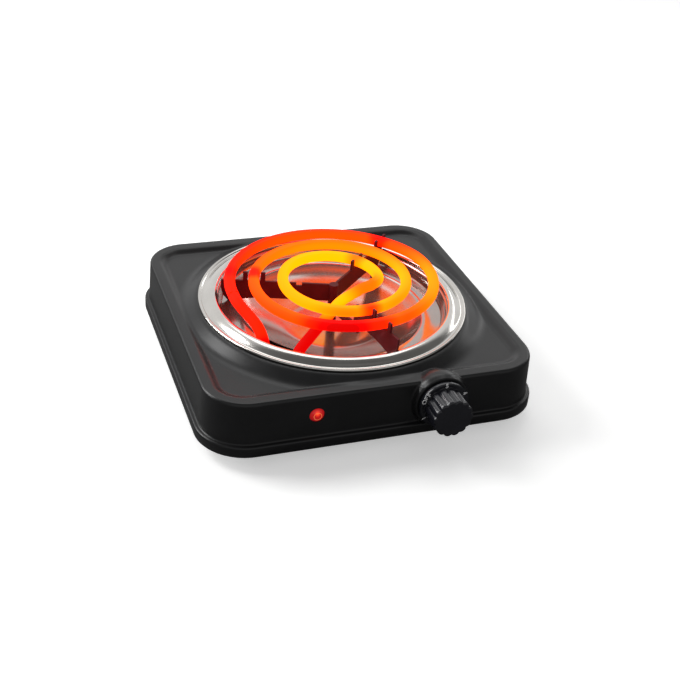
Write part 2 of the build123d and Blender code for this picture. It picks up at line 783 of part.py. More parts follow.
# ---------------------------------------------------------- inlet, leads
def inlet_bush():
    x, z = inlet_x, base + inlet_z
    rear = body_d / 2 + inlet_lip - ledge
    step = inlet_wall_y + lip_gap
    bush = rod_y(x, z, step, rear, inlet_r) + rod_y(x, z, inlet_wall_y - inlet_in, step, inlet_neck_r)
    return bush - rod_y(x, z, inlet_wall_y - inlet_in - 1, rear + 1, inlet_bore_r)


def inlet_clip():
    x, z = inlet_x, base + inlet_z
    front = inlet_wall_y - sheet - tube_gap
    ring = rod_y(x, z, front - inlet_clip_t, front, inlet_r + 1.5)
    return ring - rod_y(x, z, front - inlet_in, front + 2, inlet_neck_r)


def block_places():
    return [inlet_x + block_pitch * i for i in (-1, 0, 1)]


def terminal_block():
    solid = box(inlet_x - block_half, inlet_x + block_half, block_y - block_d / 2, block_y + block_d / 2,
                plate_top, plate_top + block_h)
    for x in block_places():
        solid -= rod_y(x, lead_z, block_y - block_d, block_y + block_d, lead_r + wire_room)
        solid -= disc(x, block_y, lead_z, plate_top + block_h + 1, block_screw_r + screw_fit)
    return solid


def block_screws():
    solids = []
    top = plate_top + block_h - 0.5
    for x in block_places():
        screw = disc(x, block_y, lead_z + lead_r + screw_fit, top, block_screw_r)
        solids.append(screw - slot_cut(x, block_y, block_screw_r, top - slot_deep, top + 1))
    return Compound(solids)


def lead(points, radii, r=lead_r):
    line = FilletPolyline(*points, radius=radii)
    return sweep(Plane(origin=line @ 0, z_dir=line % 0) * Circle(r), path=line)


def line_lead():
    x0 = inlet_x + block_pitch
    x1 = knob_x + 6.6
    return lead([(x0, block_y + 1, lead_z), (x0, 68, lead_z), (20, 40, lead_z), (x1, -20, lead_z),
                 (x1, -68, tab_lead_z), (x1, inner_y + 20, tab_lead_z)], [9, 24, 24, 24])


def load_lead():
    x0 = knob_x - 6
    return lead([(x0, inner_y + 15, tab_lead_z), (x0, -76, tab_lead_z), (-40, -80, tab_lead_z),
                 (-60, -96, tab_lead_z + 8), along(leg_end + tab_len + 10, leg_off[1], leg_z),
                 along(leg_end + tab_len + touch_gap, leg_off[1], leg_z)], [8, 12, 8, 5])


def neutral_lead():
    edge = leg_off[0] + tab_w / 2
    return lead([(inlet_x, block_y + 1, lead_z), (inlet_x, 66, lead_z), (-98, 36, lead_z),
                 (-99, -34, lead_z + 8), along(leg_end + 5, edge + 9, leg_z),
                 along(leg_end + 5, edge + touch_gap, leg_z)], [9, 20, 16, 5])


def earth_lead():
    x0 = inlet_x - block_pitch
    end = earth_x + earth_nut_r + touch_gap
    return lead([(x0, block_y + 1, lead_z), (x0, earth_y, lead_z), (end, earth_y, lead_z)], [8])


def earth_stud():
    stud = disc(earth_x, earth_y, plate_top, plate_top + 9, earth_r)
    return stud + disc(earth_x, earth_y, lead_z - earth_nut_h / 2, lead_z + earth_nut_h / 2, earth_nut_r)


def lamp_leads():
    # From the lamp's plug to the ends of the coil, one over the load lead and one short.
    y0 = lens_back - lens_flange + neon_len + lamp_plug_t
    z0 = base + lamp_z
    edge = leg_off[1] - tab_w / 2
    short = lead([(lamp_x + 1.5, y0, z0), (lamp_x + 1.5, y0 + 9, z0),
                  along(leg_end + 4.5, edge - 10, leg_z), along(leg_end + 4.5, edge - touch_gap, leg_z)],
                 [3, 3], lamp_lead_r)
    edge = leg_off[0] - tab_w / 2
    long = lead([(lamp_x - 1.5, y0, z0), (lamp_x - 1.5, y0 + 6, z0), (-64, -92.5, leg_z + 4),
                 along(leg_end + 16, edge - 6, leg_z + 4), along(leg_end + 6.5, edge - 5.5, leg_z),
                 along(leg_end + 6.5, edge - touch_gap, leg_z)], [2.5, 10, 4, 2], lamp_lead_r)
    return Compound([short, long])


for name, piece in [("body_shell", body_shell()), ("bottom_plate", bottom_plate()),
                    ("foot_screws", foot_screws()), ("corner_posts", corner_posts()),
                    ("trim_ring", trim_ring()), ("drip_bowl", drip_bowl()),
                    ("heating_coil", heating_coil()), ("hub_post", hub_post()),
                    ("coil_bracket", coil_bracket()), ("heat_shield", heat_shield()),
                    ("upper_spacer", upper_spacer()), ("lower_spacer", lower_spacer()),
                    ("centre_bolt", centre_bolt()), ("bolt_washer", bolt_washer()),
                    ("knob", knob()), ("knob_insert", knob_insert()), ("spindle", spindle()),
                    ("spindle_bush", spindle_bush()), ("bush_nut", bush_nut()),
                    ("spindle_clip", spindle_clip()), ("switch_frame", switch_frame()),
                    ("switch_cam", switch_cam()), ("plunger", plunger()), ("switch_base", switch_base()),
                    ("fixed_leaf", fixed_leaf()), ("moving_leaf", moving_leaf()),
                    ("leaf_spacer", leaf_spacer()), ("contacts", contacts()),
                    ("switch_tabs", switch_tabs()), ("indicator_lens", indicator_lens()),
                    ("lens_clip", lens_clip()), ("neon_lamp", neon_lamp()), ("lamp_plug", lamp_plug()),
                    ("inlet_bush", inlet_bush()), ("inlet_clip", inlet_clip()),
                    ("terminal_block", terminal_block()), ("block_screws", block_screws()),
                    ("line_lead", line_lead()), ("load_lead", load_lead()),
                    ("neutral_lead", neutral_lead()),
                    ("earth_lead", earth_lead()), ("earth_stud", earth_stud()),
                    ("lamp_leads", lamp_leads())]:
    save(name, piece)

for (x, y), corner in zip(foot_places(), ("front_left", "rear_left", "front_right", "rear_right")):
    save(f"foot_{corner}", foot(x, y))

# ears: which turn of the coil (0 is the innermost) and which side of it
arms = {"left": (163.0, [(1, -1), (1, 1)], False, arm_notch),
        "rear": (43.0, [(0, -1), (0, 1), (2, -1), (2, 1)], False, None),
        "front": (-77.0, [(0, 1), (1, -1), (1, 1)], True, None)}
for place, (angle, ears, tongue, notch) in arms.items():
    save(f"support_arm_{place}", support_arm(angle, ears, tongue, notch))

for place, off in zip(("outer", "inner"), leg_off):
    save(f"leg_bush_{place}", leg_bush(off))
    save(f"leg_tab_{place}", leg_tab(off))

print(len(names), "nodes, body centre at y =", round(body_y, 3))
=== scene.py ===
import json
from math import atan2, cos, hypot, pi, radians, sin, sqrt

import bpy
from mathutils import Matrix, Vector


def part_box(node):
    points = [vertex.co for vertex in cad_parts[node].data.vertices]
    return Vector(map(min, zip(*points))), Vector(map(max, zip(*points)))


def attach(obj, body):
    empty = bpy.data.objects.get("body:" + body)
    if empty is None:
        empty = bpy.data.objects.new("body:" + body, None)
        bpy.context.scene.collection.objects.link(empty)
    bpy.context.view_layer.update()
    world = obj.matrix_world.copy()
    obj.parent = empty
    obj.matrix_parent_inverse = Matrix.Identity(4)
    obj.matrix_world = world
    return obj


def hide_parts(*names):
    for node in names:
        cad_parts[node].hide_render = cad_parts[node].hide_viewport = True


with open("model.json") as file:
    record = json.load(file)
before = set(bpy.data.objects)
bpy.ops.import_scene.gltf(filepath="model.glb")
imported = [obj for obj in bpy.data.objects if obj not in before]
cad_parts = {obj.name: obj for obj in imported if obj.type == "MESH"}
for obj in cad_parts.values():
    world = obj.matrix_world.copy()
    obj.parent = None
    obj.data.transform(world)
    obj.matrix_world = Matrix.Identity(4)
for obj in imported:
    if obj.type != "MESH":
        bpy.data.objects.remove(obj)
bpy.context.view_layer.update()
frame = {"nodes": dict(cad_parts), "record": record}
nodes = frame["nodes"]
mm = 0.001
print("frame loaded,", len(nodes), "nodes")

plateLow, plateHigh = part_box("bottom_plate")
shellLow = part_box("body_shell")[0]
middle = (plateLow + plateHigh) / 2       # the body's middle in plan
skirtLow = shellLow.z

# Camera, light and floor
cameraPlace = {"azimuth": -21.507, "elevation": 31.925, "distance": 812.71 * mm, "right": 7.7485 * mm,
               "up": 5.6119 * mm, "roll": 4.8889, "lens": 60.635}


def placeCamera():
    azimuth = radians(cameraPlace["azimuth"])
    elevation = radians(cameraPlace["elevation"])
    back = Vector((sin(azimuth) * cos(elevation), -cos(azimuth) * cos(elevation), sin(elevation)))
    right = Vector((0, 0, 1)).cross(back).normalized()
    up = back.cross(right)
    target = Vector((middle.x, middle.y, skirtLow))
    place = target + back * cameraPlace["distance"] + right * cameraPlace["right"] + up * cameraPlace["up"]
    turn = Matrix((right, up, back)).transposed() @ Matrix.Rotation(radians(cameraPlace["roll"]), 3, "Z")
    bpy.ops.object.camera_add()
    camera = bpy.context.object
    camera.matrix_world = Matrix.Translation(place) @ turn.to_4x4()
    camera.data.sensor_width = 36
    camera.data.lens = cameraPlace["lens"]
    camera.data.clip_start = 0.02
    bpy.context.scene.camera = camera


# sky: (direction towards the back, brightness)
studio = {"sky": [(-1.0, 0.60), (-0.55, 0.45), (-0.15, 0.12), (0.25, 0.16), (0.5, 0.85), (1.0, 0.95)],
          "key": 6.0, "keySize": 0.45, "top": 2.0, "topSize": 0.9, "floorGlow": 0.42,
          "strip": (5.0, 0.8), "stripSize": (0.9, 0.07), "floorColor": (0.9, 0.9, 0.895, 1),
          "floorBounce": (0.17, 0.17, 0.17, 1)}


def addSoftbox(name, place, size, power, aim):
    bpy.ops.object.light_add(type="AREA", location=place)
    lamp = bpy.context.object
    lamp.name = name
    lamp.data.shape = "RECTANGLE"
    lamp.data.size = size[0]
    lamp.data.size_y = size[1]
    lamp.data.energy = power
    lamp.rotation_euler = (Vector(aim) - Vector(place)).to_track_quat("-Z", "Y").to_euler()
    return lamp


def lightStudio():
    world = bpy.data.worlds.new("studioSky")
    bpy.context.scene.world = world
    world.use_nodes = True
    tree = world.node_tree
    tree.nodes.clear()
    out = tree.nodes.new("ShaderNodeOutputWorld")
    coord = tree.nodes.new("ShaderNodeTexCoord")
    split = tree.nodes.new("ShaderNodeSeparateXYZ")
    ramp = tree.nodes.new("ShaderNodeMapRange")   # dark overhead, bright behind
    ramp.inputs["From Min"].default_value = -1.0
    shades = tree.nodes.new("ShaderNodeValToRGB")
    stops = [((towards + 1) / 2, (level, level, level, 1)) for towards, level in studio["sky"]]
    shades.color_ramp.elements[0].color = stops[0][1]
    shades.color_ramp.elements[1].color = stops[-1][1]
    for place, color in stops[1:-1]:
        shades.color_ramp.elements.new(place).color = color
    sky = tree.nodes.new("ShaderNodeBackground")
    plain = tree.nodes.new("ShaderNodeBackground")
    plain.inputs["Strength"].default_value = 1.0
    plain.inputs["Color"].default_value = (1, 1, 1, 1)
    path = tree.nodes.new("ShaderNodeLightPath")
    mix = tree.nodes.new("ShaderNodeMixShader")
    tree.links.new(coord.outputs["Generated"], split.inputs[0])
    tree.links.new(split.outputs["Y"], ramp.inputs["Value"])
    tree.links.new(ramp.outputs["Result"], shades.inputs["Fac"])
    tree.links.new(shades.outputs["Color"], sky.inputs["Color"])
    tree.links.new(path.outputs["Is Camera Ray"], mix.inputs["Fac"])
    tree.links.new(sky.outputs[0], mix.inputs[1])
    tree.links.new(plain.outputs[0], mix.inputs[2])
    tree.links.new(mix.outputs[0], out.inputs[0])
    aim = (0, 0, 0.04)
    addSoftbox("keyBox", (-0.75, 0.45, 0.75), (studio["keySize"], studio["keySize"]), studio["key"], aim)
    addSoftbox("topBox", (0.15, 0.55, 1.0), (studio["topSize"], 0.5), studio["top"], aim)
    addSoftbox("leftStrip", (-1.1, 0.55, 0.42), studio["stripSize"], studio["strip"][0], aim)
    addSoftbox("rightStrip", (0.95, 0.5, 0.5), studio["stripSize"], studio["strip"][1], aim)


def makeFloor():
    bpy.ops.mesh.primitive_circle_add(vertices=96, radius=6, fill_type="NGON", location=(0, 0, 0))
    floor = bpy.context.object
    floor.name = "studioFloor"
    paint = newFinish("floorPaint", studio["floorColor"], 0.9, grainSize=40, grainDepth=0.0005, tint=0.02)
    tree = paint.node_tree               # the floor looks pale, but throws little light up at the body
    tree.nodes["Principled BSDF"].inputs["Emission Color"].default_value = (1, 1, 1, 1)
    tree.nodes["Principled BSDF"].inputs["Emission Strength"].default_value = studio["floorGlow"]
    bounce = addNode(tree, "ShaderNodeBsdfDiffuse", Color=studio["floorBounce"])
    path = tree.nodes.new("ShaderNodeLightPath")
    mix = tree.nodes.new("ShaderNodeMixShader")
    tree.links.new(path.outputs["Is Camera Ray"], mix.inputs["Fac"])
    tree.links.new(bounce.outputs[0], mix.inputs[1])
    tree.links.new(tree.nodes["Principled BSDF"].outputs[0], mix.inputs[2])
    tree.links.new(mix.outputs[0], tree.nodes["Material Output"].inputs["Surface"])
    floor.data.materials.append(paint)


# Finishes
def addNode(tree, kind, **values):
    made = tree.nodes.new(kind)
    for name, value in values.items():
        made.inputs[name].default_value = value
    return made


def newFinish(name, color, roughness, metallic=0.0, specular=0.5, grainSize=1.5, grainDepth=0.01, tint=0.08,
              roughSpread=0.05, stretch=(1, 1, 1), coat=0.0, coatRoughness=0.1):
    # A surface whose colour, roughness and relief vary. grainSize is in millimetres, and so is grainDepth.
    material = bpy.data.materials.new(name)
    material.use_nodes = True
    tree = material.node_tree
    shader = tree.nodes["Principled BSDF"]
    shader.inputs["Metallic"].default_value = metallic
    shader.inputs["Specular IOR Level"].default_value = specular
    shader.inputs["Coat Weight"].default_value = coat
    shader.inputs["Coat Roughness"].default_value = coatRoughness
    coord = tree.nodes.new("ShaderNodeTexCoord")
    mapping = addNode(tree, "ShaderNodeMapping", Scale=stretch)
    cloud = addNode(tree, "ShaderNodeTexNoise", Scale=60.0, Detail=4.0, Roughness=0.6)
    grain = addNode(tree, "ShaderNodeTexNoise", Scale=1 / (grainSize * mm), Detail=3.0, Roughness=0.55)
    shades = tree.nodes.new("ShaderNodeValToRGB")
    dark = [c * (1 - tint) for c in color[:3]] + [1]
    light = [min(1, c * (1 + tint)) for c in color[:3]] + [1]
    shades.color_ramp.elements[0].position = 0.3
    shades.color_ramp.elements[0].color = dark
    shades.color_ramp.elements[1].position = 0.7
    shades.color_ramp.elements[1].color = light
    gloss = tree.nodes.new("ShaderNodeMapRange")
    gloss.inputs["To Min"].default_value = max(0.02, roughness - roughSpread)
    gloss.inputs["To Max"].default_value = min(1, roughness + roughSpread)
    bump = addNode(tree, "ShaderNodeBump", Strength=0.6, Distance=grainDepth * mm)
    link = tree.links.new
    link(coord.outputs["Object"], mapping.inputs["Vector"])
    link(mapping.outputs["Vector"], cloud.inputs["Vector"])
    link(mapping.outputs["Vector"], grain.inputs["Vector"])
    link(cloud.outputs["Fac"], shades.inputs["Fac"])
    link(cloud.outputs["Fac"], gloss.inputs["Value"])
    link(grain.outputs["Fac"], bump.inputs["Height"])
    link(shades.outputs["Color"], shader.inputs["Base Color"])
    link(gloss.outputs["Result"], shader.inputs["Roughness"])
    link(bump.outputs["Normal"], shader.inputs["Normal"])
    return material


finishes = {
    "powderCoat": newFinish("powderCoat", (0.011, 0.011, 0.0115, 1), 0.30, specular=0.32, grainSize=0.9,
                            grainDepth=0.010, tint=0.15, roughSpread=0.04),
    "chrome": newFinish("chrome", (0.62, 0.60, 0.57, 1), 0.13, metallic=1, grainSize=0.6, grainDepth=0.003,
                        tint=0.05, roughSpread=0.04),
    "bowlSteel": newFinish("bowlSteel", (0.42, 0.40, 0.38, 1), 0.15, metallic=0.85, grainSize=0.8,
                           grainDepth=0.004, tint=0.08, roughSpread=0.05),
    "plainSteel": newFinish("plainSteel", (0.5, 0.5, 0.5, 1), 0.32, metallic=1, grainSize=0.4,
                            grainDepth=0.004),
    "zinc": newFinish("zinc", (0.55, 0.56, 0.57, 1), 0.38, metallic=1, grainSize=2.5, grainDepth=0.006,
                      tint=0.14),
    "aluminium": newFinish("aluminium", (0.72, 0.72, 0.73, 1), 0.3, metallic=1, stretch=(1, 12, 1),
                           grainSize=3, grainDepth=0.003),
    # arm steel: its own dark colour with a painted red glow from the hot coil mixed into it
    "armSteelPaintedCoilGlow": newFinish("armSteelPaintedCoilGlow", (0.09, 0.006, 0.010, 1), 0.5, metallic=0.1, specular=0.2, grainSize=0.7,
                         grainDepth=0.02, tint=0.3, roughSpread=0.1),
    "rubber": newFinish("rubber", (0.02, 0.02, 0.02, 1), 0.75, grainSize=0.5, grainDepth=0.02, tint=0.2),
    "knobBlack": newFinish("knobBlack", (0.009, 0.009, 0.013, 1), 0.2, specular=0.5, grainSize=2.0,
                           grainDepth=0.004, tint=0.2, roughSpread=0.05),
    "brass": newFinish("brass", (0.72, 0.5, 0.2, 1), 0.3, metallic=1, grainSize=0.5, grainDepth=0.004),
    "ceramic": newFinish("ceramic", (0.8, 0.77, 0.7, 1), 0.6, grainSize=0.3, grainDepth=0.02, tint=0.06),
    "whitePlastic": newFinish("whitePlastic", (0.78, 0.77, 0.72, 1), 0.45, grainSize=0.4, grainDepth=0.01,
                              tint=0.04),
    "blackPlastic": newFinish("blackPlastic", (0.018, 0.018, 0.018, 1), 0.5, grainSize=0.3,
                              grainDepth=0.015, tint=0.2),
    "phenolic": newFinish("phenolic", (0.12, 0.05, 0.02, 1), 0.45, grainSize=0.4, grainDepth=0.01, tint=0.3),
    "brownSleeve": newFinish("brownSleeve", (0.12, 0.045, 0.02, 1), 0.5, grainSize=0.5, grainDepth=0.01),
    "blueSleeve": newFinish("blueSleeve", (0.02, 0.07, 0.4, 1), 0.5, grainSize=0.5, grainDepth=0.01),
    "greenSleeve": newFinish("greenSleeve", (0.12, 0.35, 0.03, 1), 0.5, grainSize=0.5, grainDepth=0.01),
    "silver": newFinish("silver", (0.8, 0.8, 0.78, 1), 0.25, metallic=1, grainSize=0.3, grainDepth=0.003),
    "dialPrint": newFinish("dialPrint", (0.8, 0.8, 0.8, 1), 0.5, grainSize=0.2, grainDepth=0.004, tint=0.03),
}


# The element glows: yellow inside, orange in the middle, red outside, and darker where an arm touches it
glow = {"center": (3.0, 2.0), "rings": [(35.0, 0.98), (42.0, 0.92), (51.0, 0.60), (61.0, 0.50), (73.0, 0.31)],
        "warmRight": 0.38, "coolLeft": 0.05, "dipReach": 11.0, "strength": 2.4, "coldest": 0.10,
        "front": (-14.0, -62.0), "frontReach": 36.0, "frontDepth": 0.36,
        "tail": (19.0, -11.0), "tailReach": 22.0, "tailDepth": 0.42, "legPlace": (-61.0, -30.0)}
# arm's angle, places from the hub where it meets a turn, how much that turn cools
touches = [(163.0, ((55.0, 0.26), (71.4, 0.10))), (43.0, ((33.2, 0.36), (70.3, 0.20))),
           (-77.0, ((44.5, 0.46), (62.8, 0.10)))]
heatColors = [(0.0, (0.004, 0.0, 0.0)), (0.07, (0.10, 0.0, 0.0)), (0.16, (0.85, 0.0004, 0.0)),
              (0.30, (1.0, 0.010, 0.0)), (0.42, (1.0, 0.040, 0.0)), (0.6, (1.0, 0.100, 0.0)),
              (0.85, (1.0, 0.21, 0.0)), (1.0, (1.0, 0.28, 0.0))]


def heatFinish():
    material = bpy.data.materials.new("glowingSheath")
    material.use_nodes = True
    tree = material.node_tree
    link = tree.links.new
    shader = tree.nodes["Principled BSDF"]
    shader.inputs["Base Color"].default_value = (0.006, 0.002, 0.002, 1)
    shader.inputs["Roughness"].default_value = 0.7
    shader.inputs["Specular IOR Level"].default_value = 0.05
    shader.inputs["Emission Strength"].default_value = glow["strength"]
    coord = tree.nodes.new("ShaderNodeTexCoord")

    def math(operation, a, b):
        made = tree.nodes.new("ShaderNodeMath")
        made.operation = operation
        link(a, made.inputs[0])
        link(b, made.inputs[1])
        return made.outputs[0]

    def between(source, low, high, atLow, atHigh, smooth=True):
        made = addNode(tree, "ShaderNodeMapRange")
        made.interpolation_type = "SMOOTHSTEP" if smooth else "LINEAR"
        for name, item in (("From Min", low), ("From Max", high), ("To Min", atLow), ("To Max", atHigh)):
            made.inputs[name].default_value = item
        link(source, made.inputs["Value"])
        return made.outputs["Result"]

    def distanceTo(x, y):
        flat = tree.nodes.new("ShaderNodeVectorMath")
        flat.operation = "MULTIPLY"
        flat.inputs[1].default_value = (1000, 1000, 0)
        link(coord.outputs["Object"], flat.inputs[0])
        away = tree.nodes.new("ShaderNodeVectorMath")
        away.operation = "DISTANCE"
        away.inputs[1].default_value = (x + middle.x / mm, y + middle.y / mm, 0)
        link(flat.outputs[0], away.inputs[0])
        return away.outputs["Value"]

    split = tree.nodes.new("ShaderNodeSeparateXYZ")
    link(coord.outputs["Object"], split.inputs[0])
    out = distanceTo(*glow["center"])
    heat = between(out, glow["rings"][0][0], glow["rings"][1][0], glow["rings"][0][1], glow["rings"][1][1])
    for (near, hot), (far, cool) in zip(glow["rings"][1:], glow["rings"][2:]):
        heat = math("SUBTRACT", heat, between(out, near, far, 0.0, hot - cool, False))
    warm = math("MULTIPLY", between(split.outputs["X"], 0.030, 0.072, 0.0, glow["warmRight"]),
                between(split.outputs["Y"], 0.0, 0.055, 1.0, 0.1))
    heat = math("ADD", heat, warm)
    heat = math("SUBTRACT", heat, between(split.outputs["X"], -0.062, -0.01, glow["coolLeft"], 0.0))
    frontFade = between(distanceTo(*glow["front"]), 6.0, glow["frontReach"], glow["frontDepth"], 0.0)
    heat = math("SUBTRACT", heat, frontFade)
    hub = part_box("hub_post")
    hubX = (hub[0].x + hub[1].x) / 2 - middle.x
    hubY = (hub[0].y + hub[1].y) / 2 - middle.y
    for angle, places in touches:
        for reach, depth in places:
            x = hubX / mm + reach * cos(radians(angle))
            y = hubY / mm + reach * sin(radians(angle))
            heat = math("SUBTRACT", heat, between(distanceTo(x, y), 1.0, glow["dipReach"], depth, 0.0))
    # the inner leg is cold from where it dives under the turns, the outer one only below the ring
    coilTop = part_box("heating_coil")[1].z
    tailFade = between(distanceTo(*glow["tail"]), 4.0, glow["tailReach"], glow["tailDepth"], 0.0)
    heat = math("SUBTRACT", heat, tailFade)
    sinks = between(split.outputs["Z"], coilTop - 0.016, coilTop - 0.006, 0.60, 0.0)
    inner = between(distanceTo(*glow["legPlace"]), 8.0, 20.0, 0.0, 1.0)
    heat = math("SUBTRACT", heat, math("MULTIPLY", sinks, inner))
    leastHeat = between(split.outputs["Z"], coilTop - 0.030, coilTop - 0.024, 0.0, glow["coldest"])
    heat = math("MAXIMUM", heat, leastHeat)
    ramp = tree.nodes.new("ShaderNodeValToRGB")
    ramp.color_ramp.elements[0].color = (*heatColors[0][1], 1)
    ramp.color_ramp.elements[1].color = (*heatColors[-1][1], 1)
    for place, color in heatColors[1:-1]:
        ramp.color_ramp.elements.new(place).color = (*color, 1)
    link(heat, ramp.inputs["Fac"])
    link(ramp.outputs["Color"], shader.inputs["Emission Color"])
    scale = addNode(tree, "ShaderNodeTexNoise", Scale=900.0, Detail=3.0)
    link(coord.outputs["Object"], scale.inputs["Vector"])
    bump = addNode(tree, "ShaderNodeBump", Strength=0.4, Distance=0.01 * mm)
    link(scale.outputs["Fac"], bump.inputs["Height"])
    link(bump.outputs["Normal"], shader.inputs["Normal"])
    return material


finishes["glowingSheath"] = heatFinish()


def lensFinish():
    # Deep red inside, paler at the flange, with the lamp's light showing high in the dome.
    material = newFinish("redLens", (0.45, 0.010, 0.010, 1), 0.12, specular=0.5, grainSize=1.2,
                         grainDepth=0.01, tint=0.15)
    tree = material.node_tree
    shader = tree.nodes["Principled BSDF"]
    low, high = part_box("indicator_lens")
    centre = ((low.x + high.x) / 2, low.y, (low.z + high.z) / 2)
    coord = tree.nodes.new("ShaderNodeTexCoord")

    def distanceRamp(x, y, z, reach, stops):
        flat = tree.nodes.new("ShaderNodeVectorMath")
        flat.operation = "MULTIPLY"
        flat.inputs[1].default_value = (1 / reach, 0, 1 / reach)
        tree.links.new(coord.outputs["Object"], flat.inputs[0])
        away = tree.nodes.new("ShaderNodeVectorMath")
        away.operation = "DISTANCE"
        away.inputs[1].default_value = (x / reach, 0, z / reach)
        tree.links.new(flat.outputs[0], away.inputs[0])
        ramp = tree.nodes.new("ShaderNodeValToRGB")
        ramp.color_ramp.elements[0].color = (*stops[0][1], 1)
        ramp.color_ramp.elements[1].color = (*stops[-1][1], 1)
        for place, color in stops[1:-1]:
            ramp.color_ramp.elements.new(place).color = (*color, 1)
        tree.links.new(away.outputs["Value"], ramp.inputs["Fac"])
        return ramp.outputs["Color"]

    body = distanceRamp(centre[0], 0, centre[2], 7 * mm,
                        [(0.0, (0.40, 0.008, 0.008)), (0.66, (0.30, 0.004, 0.006)),
                         (0.76, (0.45, 0.14, 0.15)), (1.0, (0.45, 0.14, 0.15))])
    tree.links.new(body, shader.inputs["Base Color"])
    light = distanceRamp(centre[0] - 0.3 * mm, 0, centre[2] + 2.0 * mm, 7 * mm,
                         [(0.0, (1.0, 0.16, 0.05)), (0.13, (0.9, 0.04, 0.01)), (0.3, (0.40, 0.006, 0.006)),
                          (0.8, (0.26, 0.006, 0.008)), (1.0, (0.14, 0.02, 0.025))])
    tree.links.new(light, shader.inputs["Emission Color"])
    shader.inputs["Emission Strength"].default_value = 1.0
    return material


finishes["redLens"] = lensFinish()


def lampFinish():
    material = newFinish("lampGlass", (1.0, 0.35, 0.15, 1), 0.15, grainSize=1, grainDepth=0.002)
    shader = material.node_tree.nodes["Principled BSDF"]
    shader.inputs["Emission Color"].default_value = (1.0, 0.22, 0.05, 1)
    shader.inputs["Emission Strength"].default_value = 0.5
    return material


finishes["lampGlass"] = lampFinish()

slotFinish = {"black_enamel": "powderCoat", "zinc_steel": "zinc", "chrome_ring": "chrome",
              "polished_bowl": "bowlSteel", "hot_sheath": "glowingSheath", "arm_steel": "armSteelPaintedCoilGlow",
              "rubber_black": "rubber", "knob_black": "knobBlack", "brass_part": "brass",
              "plain_steel": "plainSteel", "shield_aluminium": "aluminium", "white_ceramic": "ceramic",
              "red_lens": "redLens", "lamp_glass": "lampGlass", "white_plastic": "whitePlastic",
              "black_plastic": "blackPlastic", "brown_sleeve": "brownSleeve", "blue_sleeve": "blueSleeve",
              "green_sleeve": "greenSleeve", "silver_contact": "silver", "cam_plastic": "phenolic"}
nodeSlot = {row["node"]: row["material_slot"] for row in frame["record"]["subparts"]}


def paintNodes():
    for name, piece in nodes.items():
        piece.data.materials.clear()
        piece.data.materials.append(finishes[slotFinish[nodeSlot[name]]])


# Pressed body: the sheet is one surface, skirt to burner hole, with the boss behind the knob pressed out
bodyShape = {"width": 230.0, "depth": 220.5, "height": 36.8, "cornerRadius": 32.0, "skirtHeight": 7.5,
             "skirtRound": 1.3, "ledge": 3.0, "ledgeFillet": 1.1, "lean": 1.2, "rimRound": 2.0,
             "rimSide": 6.0, "rimEnd": 7.5, "slope": 7.0, "recessDepth": 3.0, "recessRadius": 20.0,
             "coneFoot": 104.0, "coneTop": 93.6, "coneHeight": 6.3, "seatRadius": 92.8,
             "sheet": 1.0}
bossShape = {"x": 37.1, "z": 22.9, "faceRadius": 17.3, "sideRadius": 17.7, "footRadius": 18.9,
             "filletRadius": 19.5, "height": 4.4}
humpFade = [(0.0, 18.9), (4.0, 18.5), (8.0, 17.1), (12.0, 15.0), (16.0, 11.5)]    # behind the wall, radius
rimZ = skirtLow / mm + bodyShape["height"]
seatZ = rimZ - bodyShape["recessDepth"] + bodyShape["coneHeight"]


def ease(t):
    t = min(1, max(0, t))
    return t * t * (3 - 2 * t)


def softMax(a, b, width):
    blend = max(width - abs(a - b), 0) / width
    return max(a, b) + blend * blend * width / 4


def softMin(a, b, width):
    return -softMax(-a, -b, width)


def wallY(z):
    shape = bodyShape
    low = skirtLow / mm + shape["skirtHeight"]
    share = (z - low) / (rimZ - low)
    return -(shape["depth"] / 2 - shape["ledge"] - shape["lean"] * share)


bossZ = skirtLow / mm + bossShape["z"]
bossFace = wallY(bossZ) - bossShape["height"]


def bossRadius(y):
    behind = y - wallY(bossZ)
    if behind <= 0:
        share = behind / bossShape["height"] + 1
        return bossShape["sideRadius"] + (bossShape["footRadius"] - bossShape["sideRadius"]) * share
    for (near, wide), (far, narrow) in zip(humpFade, humpFade[1:]):
        if behind <= far:
            return wide + (narrow - wide) * (behind - near) / (far - near)
    return 0


def humpZ(x, y):
    aside = abs(x - bossShape["x"])
    radius = bossRadius(y)
    if radius <= aside:
        return 0
    return bossZ + sqrt(radius * radius - aside * aside)


def frontY(x, z):
    out = hypot(x - bossShape["x"], z - bossZ)
    share = ease((bossShape["filletRadius"] - out) / (bossShape["filletRadius"] - bossShape["faceRadius"]))
    return wallY(z) + (bossFace - wallY(z)) * share


def topZ(x, y):
    # Height of the top at a place inside the rim: recess, raised round seat and hump.
    shape = bodyShape
    inX = shape["width"] / 2 - shape["ledge"] - shape["lean"] - shape["rimSide"]
    inY = shape["depth"] / 2 - shape["ledge"] - shape["lean"] - shape["rimEnd"]
    cornerX = abs(x) - inX + shape["recessRadius"]
    cornerY = abs(y) - inY + shape["recessRadius"]
    inside = (shape["recessRadius"] - hypot(max(cornerX, 0), max(cornerY, 0))
              - min(max(cornerX, cornerY), 0))
    z = rimZ - shape["recessDepth"] * ease(inside / shape["slope"])
    steep = shape["coneHeight"] / (shape["coneFoot"] - shape["coneTop"])
    cone = seatZ + (shape["coneTop"] - hypot(x, y)) * steep
    z = softMin(softMax(z, cone, 2.2), seatZ, 1.2)
    return softMax(z, humpZ(x, y), 1.0)


